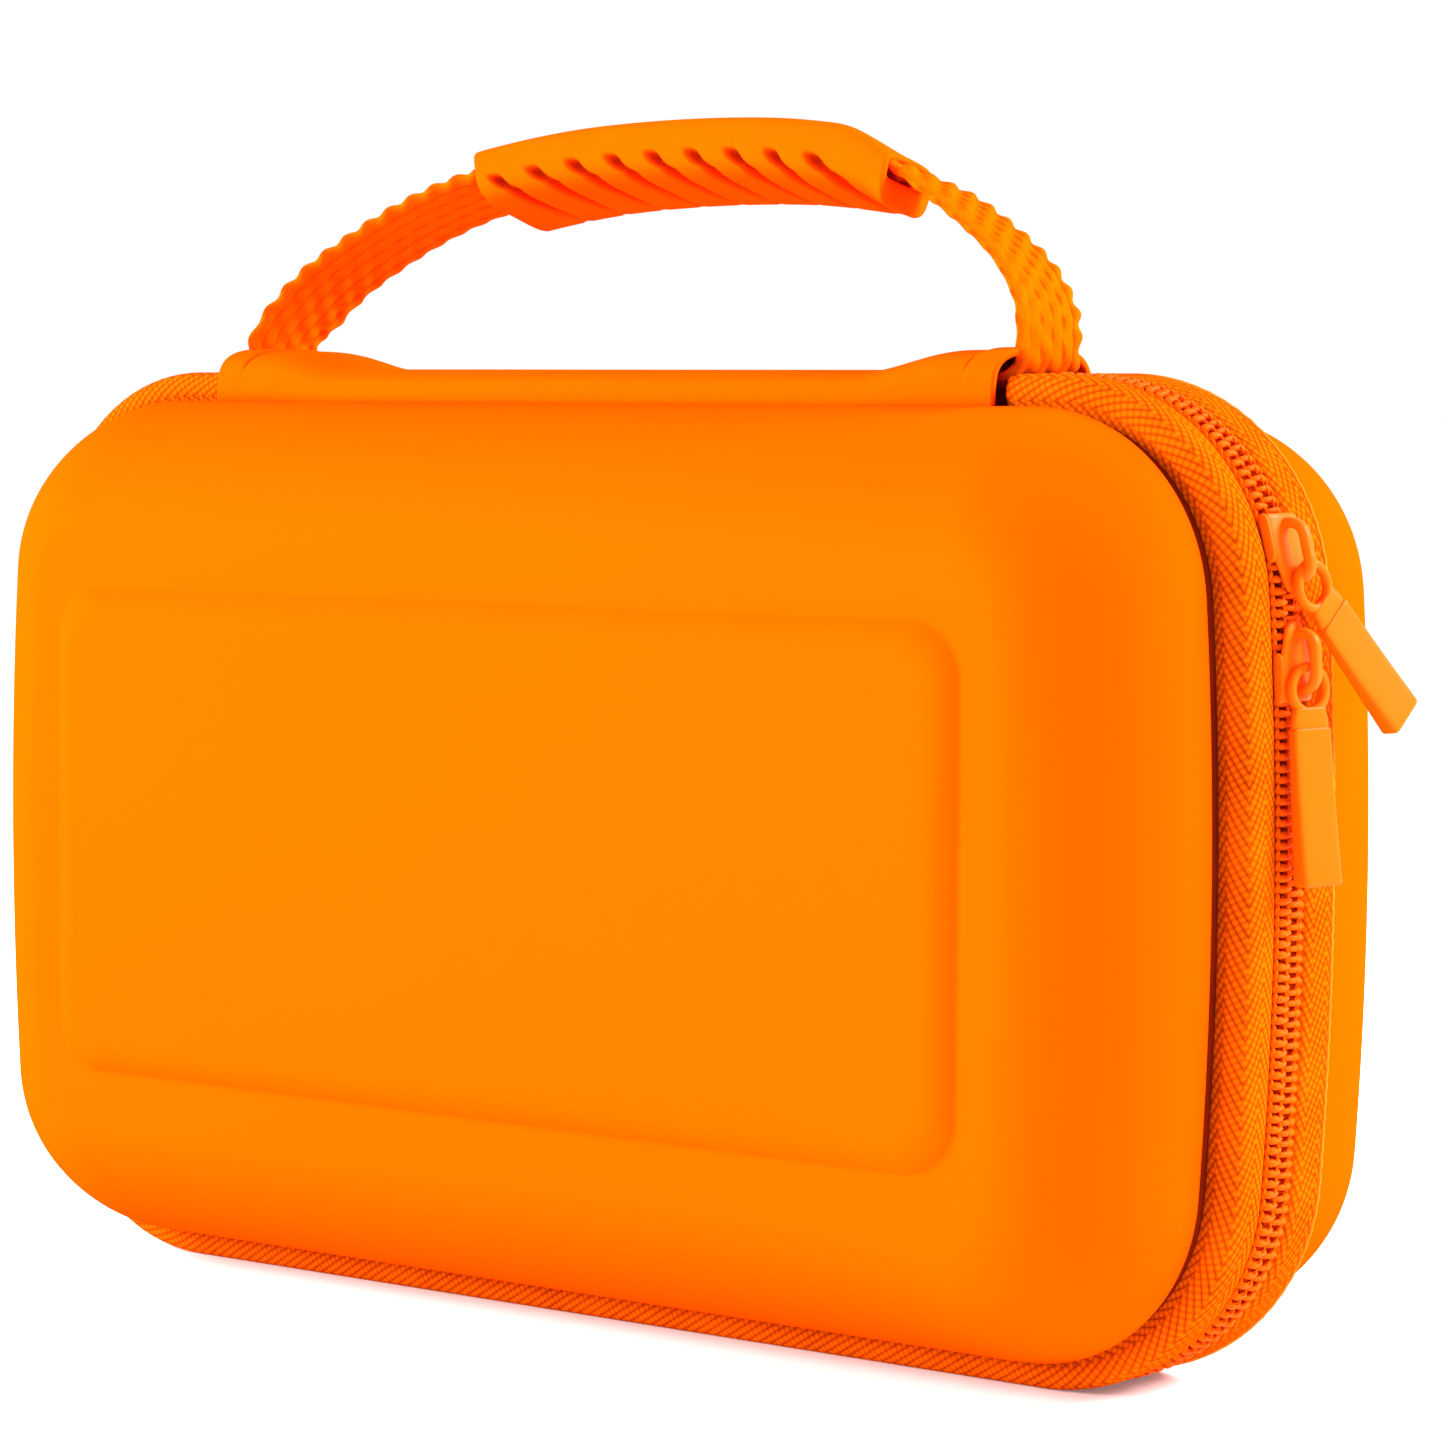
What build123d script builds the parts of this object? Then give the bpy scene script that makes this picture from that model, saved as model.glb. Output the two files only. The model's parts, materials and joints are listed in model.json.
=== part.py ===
from build123d import *
from math import sin, cos, atan2, sqrt, pi, radians, degrees
import os

# Clamshell carry case with a moulded shell on each side of a zip.
# x runs left to right, -y is the front, z is up, and z = 0 is the bottom of the zip tapes,
# which the case stands on.  Everything is drawn with y = 0 on the zip's parting plane, and is
# then moved so that the origin lies on the flat bottom of the rear tape.  Millimetres.

# outline of the two shells at their rims
half_width = 132.0
half_height = 79.6
corner_radius = 33.0
side_radius = 700.0          # the left and right sides are slightly bowed
tape_proud = 5.4             # how far the zip tapes stand out beyond the rims
zip_plane_y = -8.5           # the zip's parting plane, seen from the origin
centre_z = half_height + tape_proud

# shells
wall = 3.5
lining_thickness = 1.0
front_rim_y = -15.5
front_face_y = -44.5
front_inset = 24.0           # how much smaller the flat front face is than the rim
front_softness = 1.7
rear_rim_y = 14.0
rear_face_y = 46.0
rear_inset = 14.0
rear_softness = 3.0
panel_half_width = 101.5
panel_half_height = 45.3
panel_raise = 2.5

# zip tapes, coils and seam bindings
tape_skin = 1.2
tape_fold_y = 4.6            # where the folded tape steps down beside the coil
front_tape_end = -14.6
rear_tape_end = 13.1
leaf_low, leaf_high = 2.0, 2.8
coil_low, coil_high = 2.9, 5.0
coil_gap = 0.55
coil_half = 3.85

# spine along the top, between the two hinge folds
spine_half = 88.0
spine_front = -14.9
spine_rear = 13.4
spine_bottom = 76.2
spine_middle_top = 84.7
spine_end_top = 87.9
lump_inner, lump_outer = 57.0, 70.0
cover_thickness = 1.3
hinge_level = 85.2

# handle
handle_y = 1.5
handle_level = 88.5
handle_lean = 22.0
foot_angle = 38.0
webbing_width = 20.0
webbing_thickness = 2.4
strap_points = [(86.8, 0.6), (83.6, 7.0), (74.5, 17.6), (61.0, 25.6), (46.0, 31.0), (23.0, 35.2), (0, 36.4)]
grip_half_length = 46.0
grip_width = 24.0
grip_above, grip_below = 4.6, 7.6

# zip sliders and pulls
plate_low, plate_high = 5.3, 6.7
plate_half_width = 4.35
slider_half_length = 7.0
arch_width = 2.6
arch_window = 6.0
arch_leg = 1.7
arch_height = 5.1
eye_outer, eye_inner = 4.25, 2.6
pull_length = 36.0
tag_half_width = 4.9
ring_offset = 0.9            # how far the eye's centre hangs below the arch's lower leg
upper_swing = 39.0

# inside
recess_half_width, recess_half_height = 120.5, 52.5
tray_front, recess_bottom = 9.0, 34.0
flap_half_width, flap_top, flap_bottom = 104.0, 62.0, -58.0
flap_front, flap_back = 0.4, 4.4

# centres of the corner arcs and of the bowed sides
corner_z = half_height - corner_radius
side_centre_x = half_width - side_radius
corner_x = side_centre_x + sqrt((side_radius - corner_radius) ** 2 - corner_z ** 2)
side_angle = atan2(corner_z, corner_x - side_centre_x)
lower_angle = degrees(atan2(38.0, half_width - side_centre_x))
upper_angle = 14.2


def outline(grow, y):
    """Face of the case outline, grown outwards by grow, lying at depth y."""
    r, b = corner_radius + grow, half_height + grow

    def point(x, z):
        return Vector(x, y, centre_z + z)

    def arc_point(sx, sz, angle):
        return point(sx * (corner_x + r * cos(angle)), sz * (corner_z + r * sin(angle)))

    middle = (side_angle + pi / 2) / 2
    edges = []
    for sx in (1, -1):
        edges.append(Line(point(-sx * corner_x, sx * b), point(sx * corner_x, sx * b)))
        for sz in (1, -1):
            edges.append(ThreePointArc(arc_point(sx, sz, pi / 2), arc_point(sx, sz, middle),
                                       arc_point(sx, sz, side_angle)))
        edges.append(ThreePointArc(arc_point(sx, 1, side_angle), point(sx * (half_width + grow), 0),
                                   arc_point(sx, -1, side_angle)))
    return Face(Wire([edge.edge() for edge in edges]))


def prism(grow, y0, y1):
    """Solid with the case outline between two depths."""
    return extrude(outline(grow, min(y0, y1)), amount=abs(y1 - y0), dir=(0, 1, 0))


def ring(low, high, y0, y1):
    """Closed band that follows the outline, between two growths and two depths."""
    return prism(high, y0, y1) - prism(low, y0, y1)


def dome(grow, rim_y, face_y, inset, softness, steps=7):
    """Solid that rounds from the outline at the rim into a smaller flat face."""
    sections = []
    for i in range(steps + 1):
        depth = sin(pi / 2 * i / steps)
        drop = inset * (1 - (1 - depth ** softness) ** (1 / softness))
        sections.append(outline(grow - drop, rim_y + depth * (face_y - rim_y)))
    return loft(sections)


def block(x0, x1, y0, y1, z0, z1):
    """Box given by its limits, with heights measured from the case's centre."""
    box = Box(x1 - x0, y1 - y0, z1 - z0)
    return Pos((x0 + x1) / 2, (y0 + y1) / 2, centre_z + (z0 + z1) / 2) * box


def rounded_plate(half_x, z0, z1, radius, y0, y1):
    """Plate in the xz plane with rounded corners."""
    plate = RectangleRounded(2 * half_x, z1 - z0, radius)
    placed = Plane(origin=(0, y1, centre_z + (z0 + z1) / 2), x_dir=(1, 0, 0), z_dir=(0, -1, 0)) * plate
    return extrude(placed, amount=y1 - y0)


def without_spine(shape):
    """The tapes and coils stop at the ends of the spine."""
    return shape - block(-spine_half - 0.6, spine_half + 0.6, -20, 20, 40, 100)


# shells and linings
def shell(rim_y, face_y, inset, softness):
    side = 1 if face_y > rim_y else -1
    outer = dome(0, rim_y, face_y, inset, softness)
    inner = dome(-wall, rim_y - side * 0.01, face_y - side * wall, inset - 3, softness)
    return outer - inner


def lining(rim_y, face_y, inset, softness):
    side = 1 if face_y > rim_y else -1
    gap = wall + 0.1
    outer = dome(-gap, rim_y, face_y - side * gap, inset - 3, softness)
    inner = dome(-gap - lining_thickness, rim_y - side * 0.01,
                 face_y - side * (gap + lining_thickness), inset - 3.5, softness)
    return outer - inner


front_shell = shell(front_rim_y, front_face_y, front_inset, front_softness)
panel = rounded_plate(panel_half_width, -panel_half_height, panel_half_height, 10,
                      front_face_y - panel_raise, front_face_y + 1)
panel = fillet(panel.faces().sort_by(Axis.Y)[0].edges(), 2.2)
front_shell = front_shell + panel
rear_shell = shell(rear_rim_y, rear_face_y, rear_inset, rear_softness)
front_lining = lining(front_rim_y, front_face_y, front_inset, front_softness)
rear_lining = lining(rear_rim_y, rear_face_y, rear_inset, rear_softness)


# zip tapes, each folded over the rim with a thin leaf that carries the coil
def tape(side, fold_end):
    skin = ring(tape_proud - tape_skin, tape_proud, side * tape_fold_y, side * fold_end)
    riser = ring(leaf_low, tape_proud, side * tape_fold_y, side * (tape_fold_y + 1))
    leaf = ring(leaf_low, leaf_high, side * coil_gap, side * (tape_fold_y + 1))
    return skin + riser + leaf


def front_fold():
    """The front tape rolls over towards the shell's rim."""
    rolled = prism(tape_proud, front_tape_end, -tape_fold_y)
    rolled = fillet(rolled.faces().sort_by(Axis.Y)[0].edges(), 2.4)
    rolled -= prism(tape_proud - tape_skin, front_tape_end + tape_skin, -tape_fold_y + 1)
    return rolled - prism(1.0, front_tape_end - 1, -tape_fold_y + 1)


front_zip_tape = without_spine(front_fold() + tape(-1, 8.0))
rear_return = ring(1.0, tape_proud, rear_tape_end - tape_skin, rear_tape_end)
rear_zip_tape = without_spine(tape(1, rear_tape_end) + rear_return)
front_zip_coil = without_spine(ring(coil_low, coil_high, -coil_half, -coil_gap))
rear_zip_coil = without_spine(ring(coil_low, coil_high, coil_gap, coil_half))
front_seam_binding = without_spine(ring(-wall, 0.7, -15.3, -11.5))
rear_seam_binding = without_spine(ring(-wall, 0.7, 10.5, 13.8))
stops = [block(sx * 90.0 - 1.0, sx * 90.0 + 1.0, coil_gap, coil_half,
               half_height + coil_high + 0.02, half_height + coil_high + 0.8) for sx in (1, -1)]
zip_stops = stops[0] + stops[1]


# spine: cover, stiffener, lining and end hems
def spine_profile(shrink, bottom):
    """Solid under the spine's outer surface, shrunk on every side but the bottom."""
    end, middle, lump = spine_half - shrink, spine_middle_top - shrink, spine_end_top - shrink
    points = [(-end, bottom), (end, bottom), (end, lump), (lump_outer, lump), (lump_inner, middle),
              (-lump_inner, middle), (-lump_outer, lump), (-end, lump)]
    face = Face(Wire.make_polygon([Vector(x, spine_rear - shrink, centre_z + z) for x, z in points]))
    solid = extrude(face, amount=spine_rear - spine_front - 2 * shrink, dir=(0, -1, 0))
    upright = solid.edges().filter_by(Axis.Y)
    solid = fillet(upright.filter_by(lambda e: abs(abs(e.center().X) - lump_inner) < 2
                                     or abs(abs(e.center().X) - lump_outer) < 2), 12)
    return solid


def spine_solid(shrink, bottom):
    solid = spine_profile(shrink, bottom)
    y_low, y_high = spine_front + shrink, spine_rear - shrink
    long_edges = [e for e in solid.edges()
                  if (abs(e.center().Y - y_low) < 0.01 or abs(e.center().Y - y_high) < 0.01)
                  and e.center().Z > centre_z + spine_middle_top - shrink - 0.5
                  and abs(e.center().X) < spine_half - shrink - 0.5]
    return fillet(long_edges, 3.2)


spine_outer = spine_solid(0, spine_bottom)
spine_inner = spine_solid(cover_thickness, spine_bottom - 1)
spine_cover = spine_outer - spine_inner
core_span = block(-56, 56, spine_front + 1.6, spine_rear - 1.6, spine_bottom + 1.2, spine_middle_top - 1.6)
spine_core = fillet(core_span.edges().filter_by(Axis.X).sort_by(Axis.Z)[-2:], 3.2)
spine_lining = block(-spine_half + 1.4, spine_half - 1.4, spine_front + 1.5, spine_rear - 1.5,
                     spine_bottom, spine_bottom + 1.0)
anchors = {}
for name, sx in (("left", -1), ("right", 1)):
    tail = block(66, 86, handle_y - 10, handle_y + 10, 80.0, 82.4)
    loop = block(83.6, 86, handle_y - 9, handle_y + 9, 82.3, 84.6)
    anchors[name] = tail + loop if sx == 1 else mirror(tail + loop, about=Plane.YZ)

# handle: webbing in a plane that leans back from the spine, and a moulded grip around it
lean = radians(handle_lean)
handle_plane = Plane(origin=(0, handle_y, centre_z + handle_level), x_dir=(1, 0, 0),
                     z_dir=(0, -cos(lean), sin(lean)))
half_strap = strap_points
strap_line = Spline([(-x, h) for x, h in half_strap] + [(x, h) for x, h in reversed(half_strap[:-1])])


def along_strap(above, below, start, end, width, samples=48):
    """Solid that follows the webbing between two offsets, from start to end of its length."""
    top, bottom = [], []
    for i in range(samples + 1):
        u = start + (end - start) * i / samples
        p, t = strap_line @ u, strap_line % u
        top.append((p.X - t.Y * above, p.Y + t.X * above))
        bottom.append((p.X + t.Y * below, p.Y - t.X * below))
    upper, lower = Spline(top), Spline(bottom)
    loop = [upper, Line(upper @ 1, lower @ 1), lower, Line(lower @ 0, upper @ 0)]
    face = make_face([edge.edge() for edge in loop])
    return extrude(handle_plane * face, amount=width / 2, both=True)


def strap_fraction(x):
    """Fraction of the webbing's length at which it reaches x."""
    low, high = 0.0, 1.0
    for _ in range(40):
        mid = (low + high) / 2
        if (strap_line @ mid).X < x:
            low = mid
        else:
            high = mid
    return low


handle_strap = along_strap(webbing_thickness / 2, webbing_thickness / 2, 0, 1, webbing_width)
# each foot of the webbing narrows to its hinge line, so that it clears the spine as it swings
foot_slope = sin(radians(foot_angle)) / cos(radians(foot_angle))
foot_points = [Vector(0, 0, 0.3), Vector(0, 20, 0.3 + 20 * foot_slope), Vector(0, 20, -15),
               Vector(0, -20, -15), Vector(0, -20, 0.3 + 20 * foot_slope)]
foot_cut = extrude(Face(Wire.make_polygon(foot_points)), amount=110, dir=(1, 0, 0), both=True)
handle_strap -= Pos(0, handle_y, centre_z + handle_level) * Rot(-handle_lean, 0, 0) * foot_cut
grip_start, grip_end = strap_fraction(-grip_half_length), strap_fraction(grip_half_length)
grip = along_strap(grip_above, grip_below, grip_start, grip_end, grip_width, 16)
long_edges = [e for e in grip.edges() if e.length > grip_half_length]
grip = fillet(long_edges, 4.0)
channel = along_strap(webbing_thickness / 2 + 0.3, webbing_thickness / 2 + 0.3, grip_start - 0.02,
                      grip_end + 0.02, webbing_width + 0.8, 24)
handle_grip = grip - channel


# sliders: built about the centre of the arc that they travel along
def sector(radius, low, high, y0, y1, angle0, angle1):
    """Curved plate about the y axis, between two radii and two angles in degrees."""
    a0, a1 = radians(angle0), radians(angle1)

    def point(r, a):
        return Vector(r * cos(a), y0, r * sin(a))

    inner, outer, mid = radius + low, radius + high, (a0 + a1) / 2
    edges = [ThreePointArc(point(inner, a0), point(inner, mid), point(inner, a1)),
             Line(point(inner, a1), point(outer, a1)),
             ThreePointArc(point(outer, a1), point(outer, mid), point(outer, a0)),
             Line(point(outer, a0), point(inner, a0))]
    face = Face(Wire([edge.edge() for edge in edges]))
    return extrude(face, amount=y1 - y0, dir=(0, 1, 0))


def slider(radius, place):
    """Casting: outer plate, thin divider, inner plate on the rear side, and the pull's arch."""
    half = degrees(slider_half_length / (radius + plate_high))
    post = degrees(1.6 / radius)
    body = sector(radius, plate_low, plate_high, -plate_half_width, plate_half_width, -half, half)
    body += sector(radius, 0.3, plate_high, -0.25, 0.25, half - 2 * post, half)
    body += sector(radius, 0.3, 1.7, -0.25, plate_half_width - 0.2, -half, half)
    body += sector(radius, 3.2, plate_high, plate_half_width - 0.25, plate_half_width, -half, half)
    reach = arch_window / 2 + arch_leg
    top = radius + plate_high + arch_height
    outer = Pos(top - 3.3, 0, 0) * Box(6.6, arch_width, 2 * reach)
    outer = fillet(outer.edges().filter_by(Axis.Y).sort_by(Axis.X)[-2:], 2.4)
    window = Pos(top - arch_leg - 2.5, 0, 0) * Box(5.0, arch_width + 2, arch_window)
    keep = Pos(radius + plate_high - 0.3 + 5, 0, 0) * Box(10, 40, 40)
    arch = outer - window
    return place * (body + (arch & keep))


def pull(radius, swing, place):
    """Eye and tag of a pull, hanging from the arch's lower leg and swung about it."""
    leg_z = -(arch_window + arch_leg) / 2
    level = radius + plate_high + (arch_height - arch_leg) / 2
    flat = Plane(origin=(0, 0, 0), x_dir=(0, 1, 0), z_dir=(1, 0, 0))
    centre = -ring_offset
    eye = Pos(0, centre) * Circle(eye_outer)
    tag_end = centre + eye_outer - pull_length
    neck = Pos(0, (centre - eye_outer - 3.0) / 2 - 1.0) * Rectangle(2 * tag_half_width - 2.6, 8.6)
    hole = Pos(0, centre) * Circle(eye_inner)
    thin = extrude(flat * (eye + neck - hole), amount=0.8, both=True)
    tag_top = centre - eye_outer - 1.6
    side = Face(Wire.make_polygon([Vector(-0.8, -tag_half_width, tag_top), Vector(1.0, -tag_half_width, tag_top),
                                   Vector(2.0, -tag_half_width, tag_end), Vector(-0.8, -tag_half_width, tag_end)]))
    tag = extrude(side, amount=2 * tag_half_width, dir=(0, 1, 0))
    tag = fillet(tag.edges().filter_by(Axis.X) + tag.edges().filter_by(Axis.Y), 0.5)
    return place * (Pos(level, 0, leg_z) * Rot(swing, 0, 0) * (thin + tag))


lower_place = Pos(side_centre_x, 0, centre_z) * Rot(0, -lower_angle, 0)
upper_place = Pos(corner_x, 0, centre_z + corner_z) * Rot(0, -upper_angle, 0)
lower_slider = slider(side_radius, lower_place)
upper_slider = slider(corner_radius, upper_place)
lower_pull = pull(side_radius, 0, lower_place)
upper_pull = pull(corner_radius, upper_swing, upper_place)

# inside: console tray, card flap and mesh pocket
tray_gap = wall + lining_thickness + 0.5
tray_block = dome(-tray_gap, tray_front, rear_face_y - tray_gap, rear_inset - 3, rear_softness)
recess = rounded_plate(recess_half_width, -recess_half_height, recess_half_height, 22, tray_front - 2, recess_bottom)
finger_notches = [Pos(0, tray_front, centre_z + sz * recess_half_height) * Rot(90, 0, 0) * Cylinder(13, 30)
                  for sz in (1, -1)]
console_tray = tray_block - recess - finger_notches[0] - finger_notches[1]

flap = rounded_plate(flap_half_width, flap_bottom, flap_top, 16, flap_front, flap_back)
flap_inner = rounded_plate(flap_half_width - 3, flap_bottom + 3, flap_top - 3, 13, flap_front, flap_back)
card_flap_pad = rounded_plate(flap_half_width - 3.1, flap_bottom + 3.1, flap_top - 3.1, 13, flap_front, flap_back)
card_flap_binding = flap - flap_inner
sleeves = []
for column in range(5):
    for row in range(2):
        x = -76 + 38 * column
        z = -52 + 52 * row
        sleeves.append(block(x - 17, x + 17, flap_front - 1.0, flap_front - 0.1, z, z + 44))
card_sleeves = sleeves[0]
for sleeve in sleeves[1:]:
    card_sleeves += sleeve
flap_hinge = block(-90, 90, 5.0, 5.8, 56.0, 72.0)

mesh_pocket = rounded_plate(92, -44, 18, 8, -39.0, -38.4)
mesh_pocket_binding = rounded_plate(95, -47, 21, 11, -39.4, -38.0) - rounded_plate(92.1, -44.1, 18.1, 8, -40, -37)

parts = {
    "rear_shell": rear_shell,
    "rear_lining": rear_lining,
    "rear_zip_tape": rear_zip_tape,
    "rear_zip_coil": rear_zip_coil,
    "rear_seam_binding": rear_seam_binding,
    "zip_stops": zip_stops,
    "console_tray": console_tray,
    "spine_cover": spine_cover,
    "spine_core": spine_core,
    "spine_lining": spine_lining,
    "handle_anchor_left": anchors["left"],
    "handle_anchor_right": anchors["right"],
    "handle_strap": handle_strap,
    "handle_grip": handle_grip,
    "front_shell": front_shell,
    "front_lining": front_lining,
    "front_zip_tape": front_zip_tape,
    "front_zip_coil": front_zip_coil,
    "front_seam_binding": front_seam_binding,
    "mesh_pocket": mesh_pocket,
    "mesh_pocket_binding": mesh_pocket_binding,
    "card_flap_pad": card_flap_pad,
    "card_flap_binding": card_flap_binding,
    "card_sleeves": card_sleeves,
    "card_flap_hinge": flap_hinge,
    "upper_slider": upper_slider,
    "upper_pull": upper_pull,
    "lower_slider": lower_slider,
    "lower_pull": lower_pull,
}

os.makedirs("parts", exist_ok=True)
for name, shape in parts.items():
    export_step(Pos(0, zip_plane_y, 0) * shape, f"parts/{name}.step")
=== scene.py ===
import json
import math
import bpy
import numpy as np
from mathutils import Matrix, Vector


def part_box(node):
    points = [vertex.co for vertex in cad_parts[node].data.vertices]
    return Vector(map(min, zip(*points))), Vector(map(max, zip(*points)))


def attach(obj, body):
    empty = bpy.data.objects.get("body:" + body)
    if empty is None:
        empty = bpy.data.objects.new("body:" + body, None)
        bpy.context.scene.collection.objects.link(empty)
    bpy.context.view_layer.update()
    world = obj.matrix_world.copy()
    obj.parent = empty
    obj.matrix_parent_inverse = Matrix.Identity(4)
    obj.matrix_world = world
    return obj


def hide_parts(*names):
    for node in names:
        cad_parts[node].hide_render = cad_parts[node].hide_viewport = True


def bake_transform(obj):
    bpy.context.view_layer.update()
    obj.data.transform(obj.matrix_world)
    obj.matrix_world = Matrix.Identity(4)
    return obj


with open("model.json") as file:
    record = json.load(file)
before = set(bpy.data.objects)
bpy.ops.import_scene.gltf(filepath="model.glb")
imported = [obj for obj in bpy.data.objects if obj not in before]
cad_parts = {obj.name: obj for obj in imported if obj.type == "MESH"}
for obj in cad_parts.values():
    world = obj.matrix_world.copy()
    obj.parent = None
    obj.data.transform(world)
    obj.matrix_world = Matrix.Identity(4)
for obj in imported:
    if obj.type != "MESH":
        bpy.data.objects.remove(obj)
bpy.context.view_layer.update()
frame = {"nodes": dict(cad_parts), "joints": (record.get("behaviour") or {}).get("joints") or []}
NODES = frame["nodes"]

# ---------------------------------------------------------------- frame of the case
# Pieces are drawn in millimetres from the case's centre, with y = 0 on the zip's parting plane.
MM = 0.001
CENTRE_Z = (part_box("rear_zip_tape")[0].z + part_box("rear_zip_tape")[1].z) / 2
ZIP_Y = (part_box("front_zip_coil")[1].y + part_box("rear_zip_coil")[0].y) / 2

HALF_WIDTH, HALF_HEIGHT = 132.0, 79.6
CORNER, SIDE = 33.0, 700.0
CORNER_Z = HALF_HEIGHT - CORNER
SIDE_X = HALF_WIDTH - SIDE
CORNER_X = SIDE_X + math.sqrt((SIDE - CORNER) ** 2 - CORNER_Z ** 2)
SIDE_ANGLE = math.atan2(CORNER_Z, CORNER_X - SIDE_X)
SPINE_HALF = 88.0
WEAVE, COLUMNS, WEBBING_WIDTH, THREAD_PITCH = 5.2, 6, 20.0, 0.42


def solidify(obj, thickness, offset=None):
    """Give a sheet its thickness, in millimetres."""
    modifier = obj.modifiers.new("thickness", "SOLIDIFY")
    modifier.thickness = thickness * MM
    if offset is not None:
        modifier.offset = offset


def to_row(points):
    """Points in the case's millimetres, as points in the row frame's metres."""
    p = np.asarray(points, float) * MM
    return p + np.array([0.0, ZIP_Y, CENTRE_Z])


def smooth(x, a, b):
    """0 below a, 1 above b, and an S-curve between."""
    t = np.clip((np.asarray(x, float) - a) / (b - a), 0, 1)
    return t * t * (3 - 2 * t)


# ---------------------------------------------------------------- meshes
def make(name, points, faces, body, material, slot, uv=None, replaces=()):
    """Piece from points in the case's millimetres. It rides on body, if one is given."""
    mesh = bpy.data.meshes.new(name)
    mesh.from_pydata([tuple(p) for p in to_row(points)], [], [tuple(f) for f in faces])
    if uv is not None:
        layer = mesh.uv_layers.new(name="UVMap")
        index = np.zeros(len(mesh.loops), np.int32)
        mesh.loops.foreach_get("vertex_index", index)
        layer.data.foreach_set("uv", np.asarray(uv, np.float32)[index].ravel())
    mesh.polygons.foreach_set("use_smooth", [True] * len(mesh.polygons))
    mesh.materials.append(material)
    mesh.update()
    obj = bpy.data.objects.new(name, mesh)
    bpy.context.scene.collection.objects.link(obj)
    if body:
        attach(obj, body)
    if replaces:
        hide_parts(*replaces)
    return obj


def grid_faces(rows, columns, close_rows=False, close_columns=False, flip=False):
    """Quads of a grid of points, which may close on itself either way."""
    faces = []
    for i in range(rows if close_rows else rows - 1):
        for j in range(columns if close_columns else columns - 1):
            a, b = i * columns + j, i * columns + (j + 1) % columns
            c, d = (i + 1) % rows * columns + (j + 1) % columns, (i + 1) % rows * columns + j
            faces.append((a, d, c, b) if flip else (a, b, c, d))
    return faces


def loft(rings, closed=False):
    """Points and faces through rings of equal length, with both ends closed."""
    rings = np.array(rings)
    n, m = rings.shape[:2]
    faces = grid_faces(n, m, close_rows=closed, close_columns=True)
    if not closed:
        faces += [tuple(range(m))[::-1], tuple(range((n - 1) * m, n * m))]
    return rings.reshape(-1, 3), faces


def superellipse(half_a, half_b, power, count):
    """Outline of a rounded rectangle as pairs (a, b)."""
    out = []
    for k in range(count):
        t = 2 * math.pi * k / count
        c, d = math.cos(t), math.sin(t)
        out.append((half_a * math.copysign(abs(c) ** (2 / power), c),
                    half_b * math.copysign(abs(d) ** (2 / power), d)))
    return out


def joined(parts):
    """Several (points, faces) as one."""
    points, faces, offset = [], [], 0
    for p, f in parts:
        points.append(p)
        faces += [tuple(v + offset for v in face) for face in f]
        offset += len(p)
    return np.concatenate(points), faces


def spline(points, n):
    """Smooth curve through the points, with n steps between each two (uniform Catmull-Rom)."""
    p = np.array(points, float)
    p = np.vstack([2 * p[0] - p[1], p, 2 * p[-1] - p[-2]])
    out = []
    for i in range(1, len(p) - 2):
        for t in np.linspace(0, 1, n, endpoint=False):
            a, b, c, d = p[i - 1], p[i], p[i + 1], p[i + 2]
            out.append(0.5 * ((2 * b) + (c - a) * t + (2 * a - 5 * b + 4 * c - d) * t ** 2
                              + (3 * b - a - 3 * c + d) * t ** 3))
    out.append(p[-2])
    return np.array(out)


def tube(path, radius, sides):
    """Vertices and faces of a closed tube along a path; radius may vary."""
    path = np.asarray(path, float)
    n = len(path)
    radius = np.broadcast_to(radius, n)
    tangents = np.gradient(path, axis=0)
    tangents /= np.linalg.norm(tangents, axis=1)[:, None]
    up = np.array([1.0, 0, 0]) if abs(tangents[0][0]) < 0.8 else np.array([0, 0, 1.0])
    verts = []
    for p, t, r in zip(path, tangents, radius):
        a = np.cross(up, t)
        a /= np.linalg.norm(a)
        b = np.cross(t, a)
        up = b
        for k in range(sides):
            w = 2 * math.pi * k / sides
            verts.append(p + r * (math.cos(w) * a + math.sin(w) * b))
    faces = grid_faces(n, sides, close_columns=True)
    faces.append(tuple(range(sides))[::-1])
    faces.append(tuple(range((n - 1) * sides, n * sides)))
    return np.array(verts), faces


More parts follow.
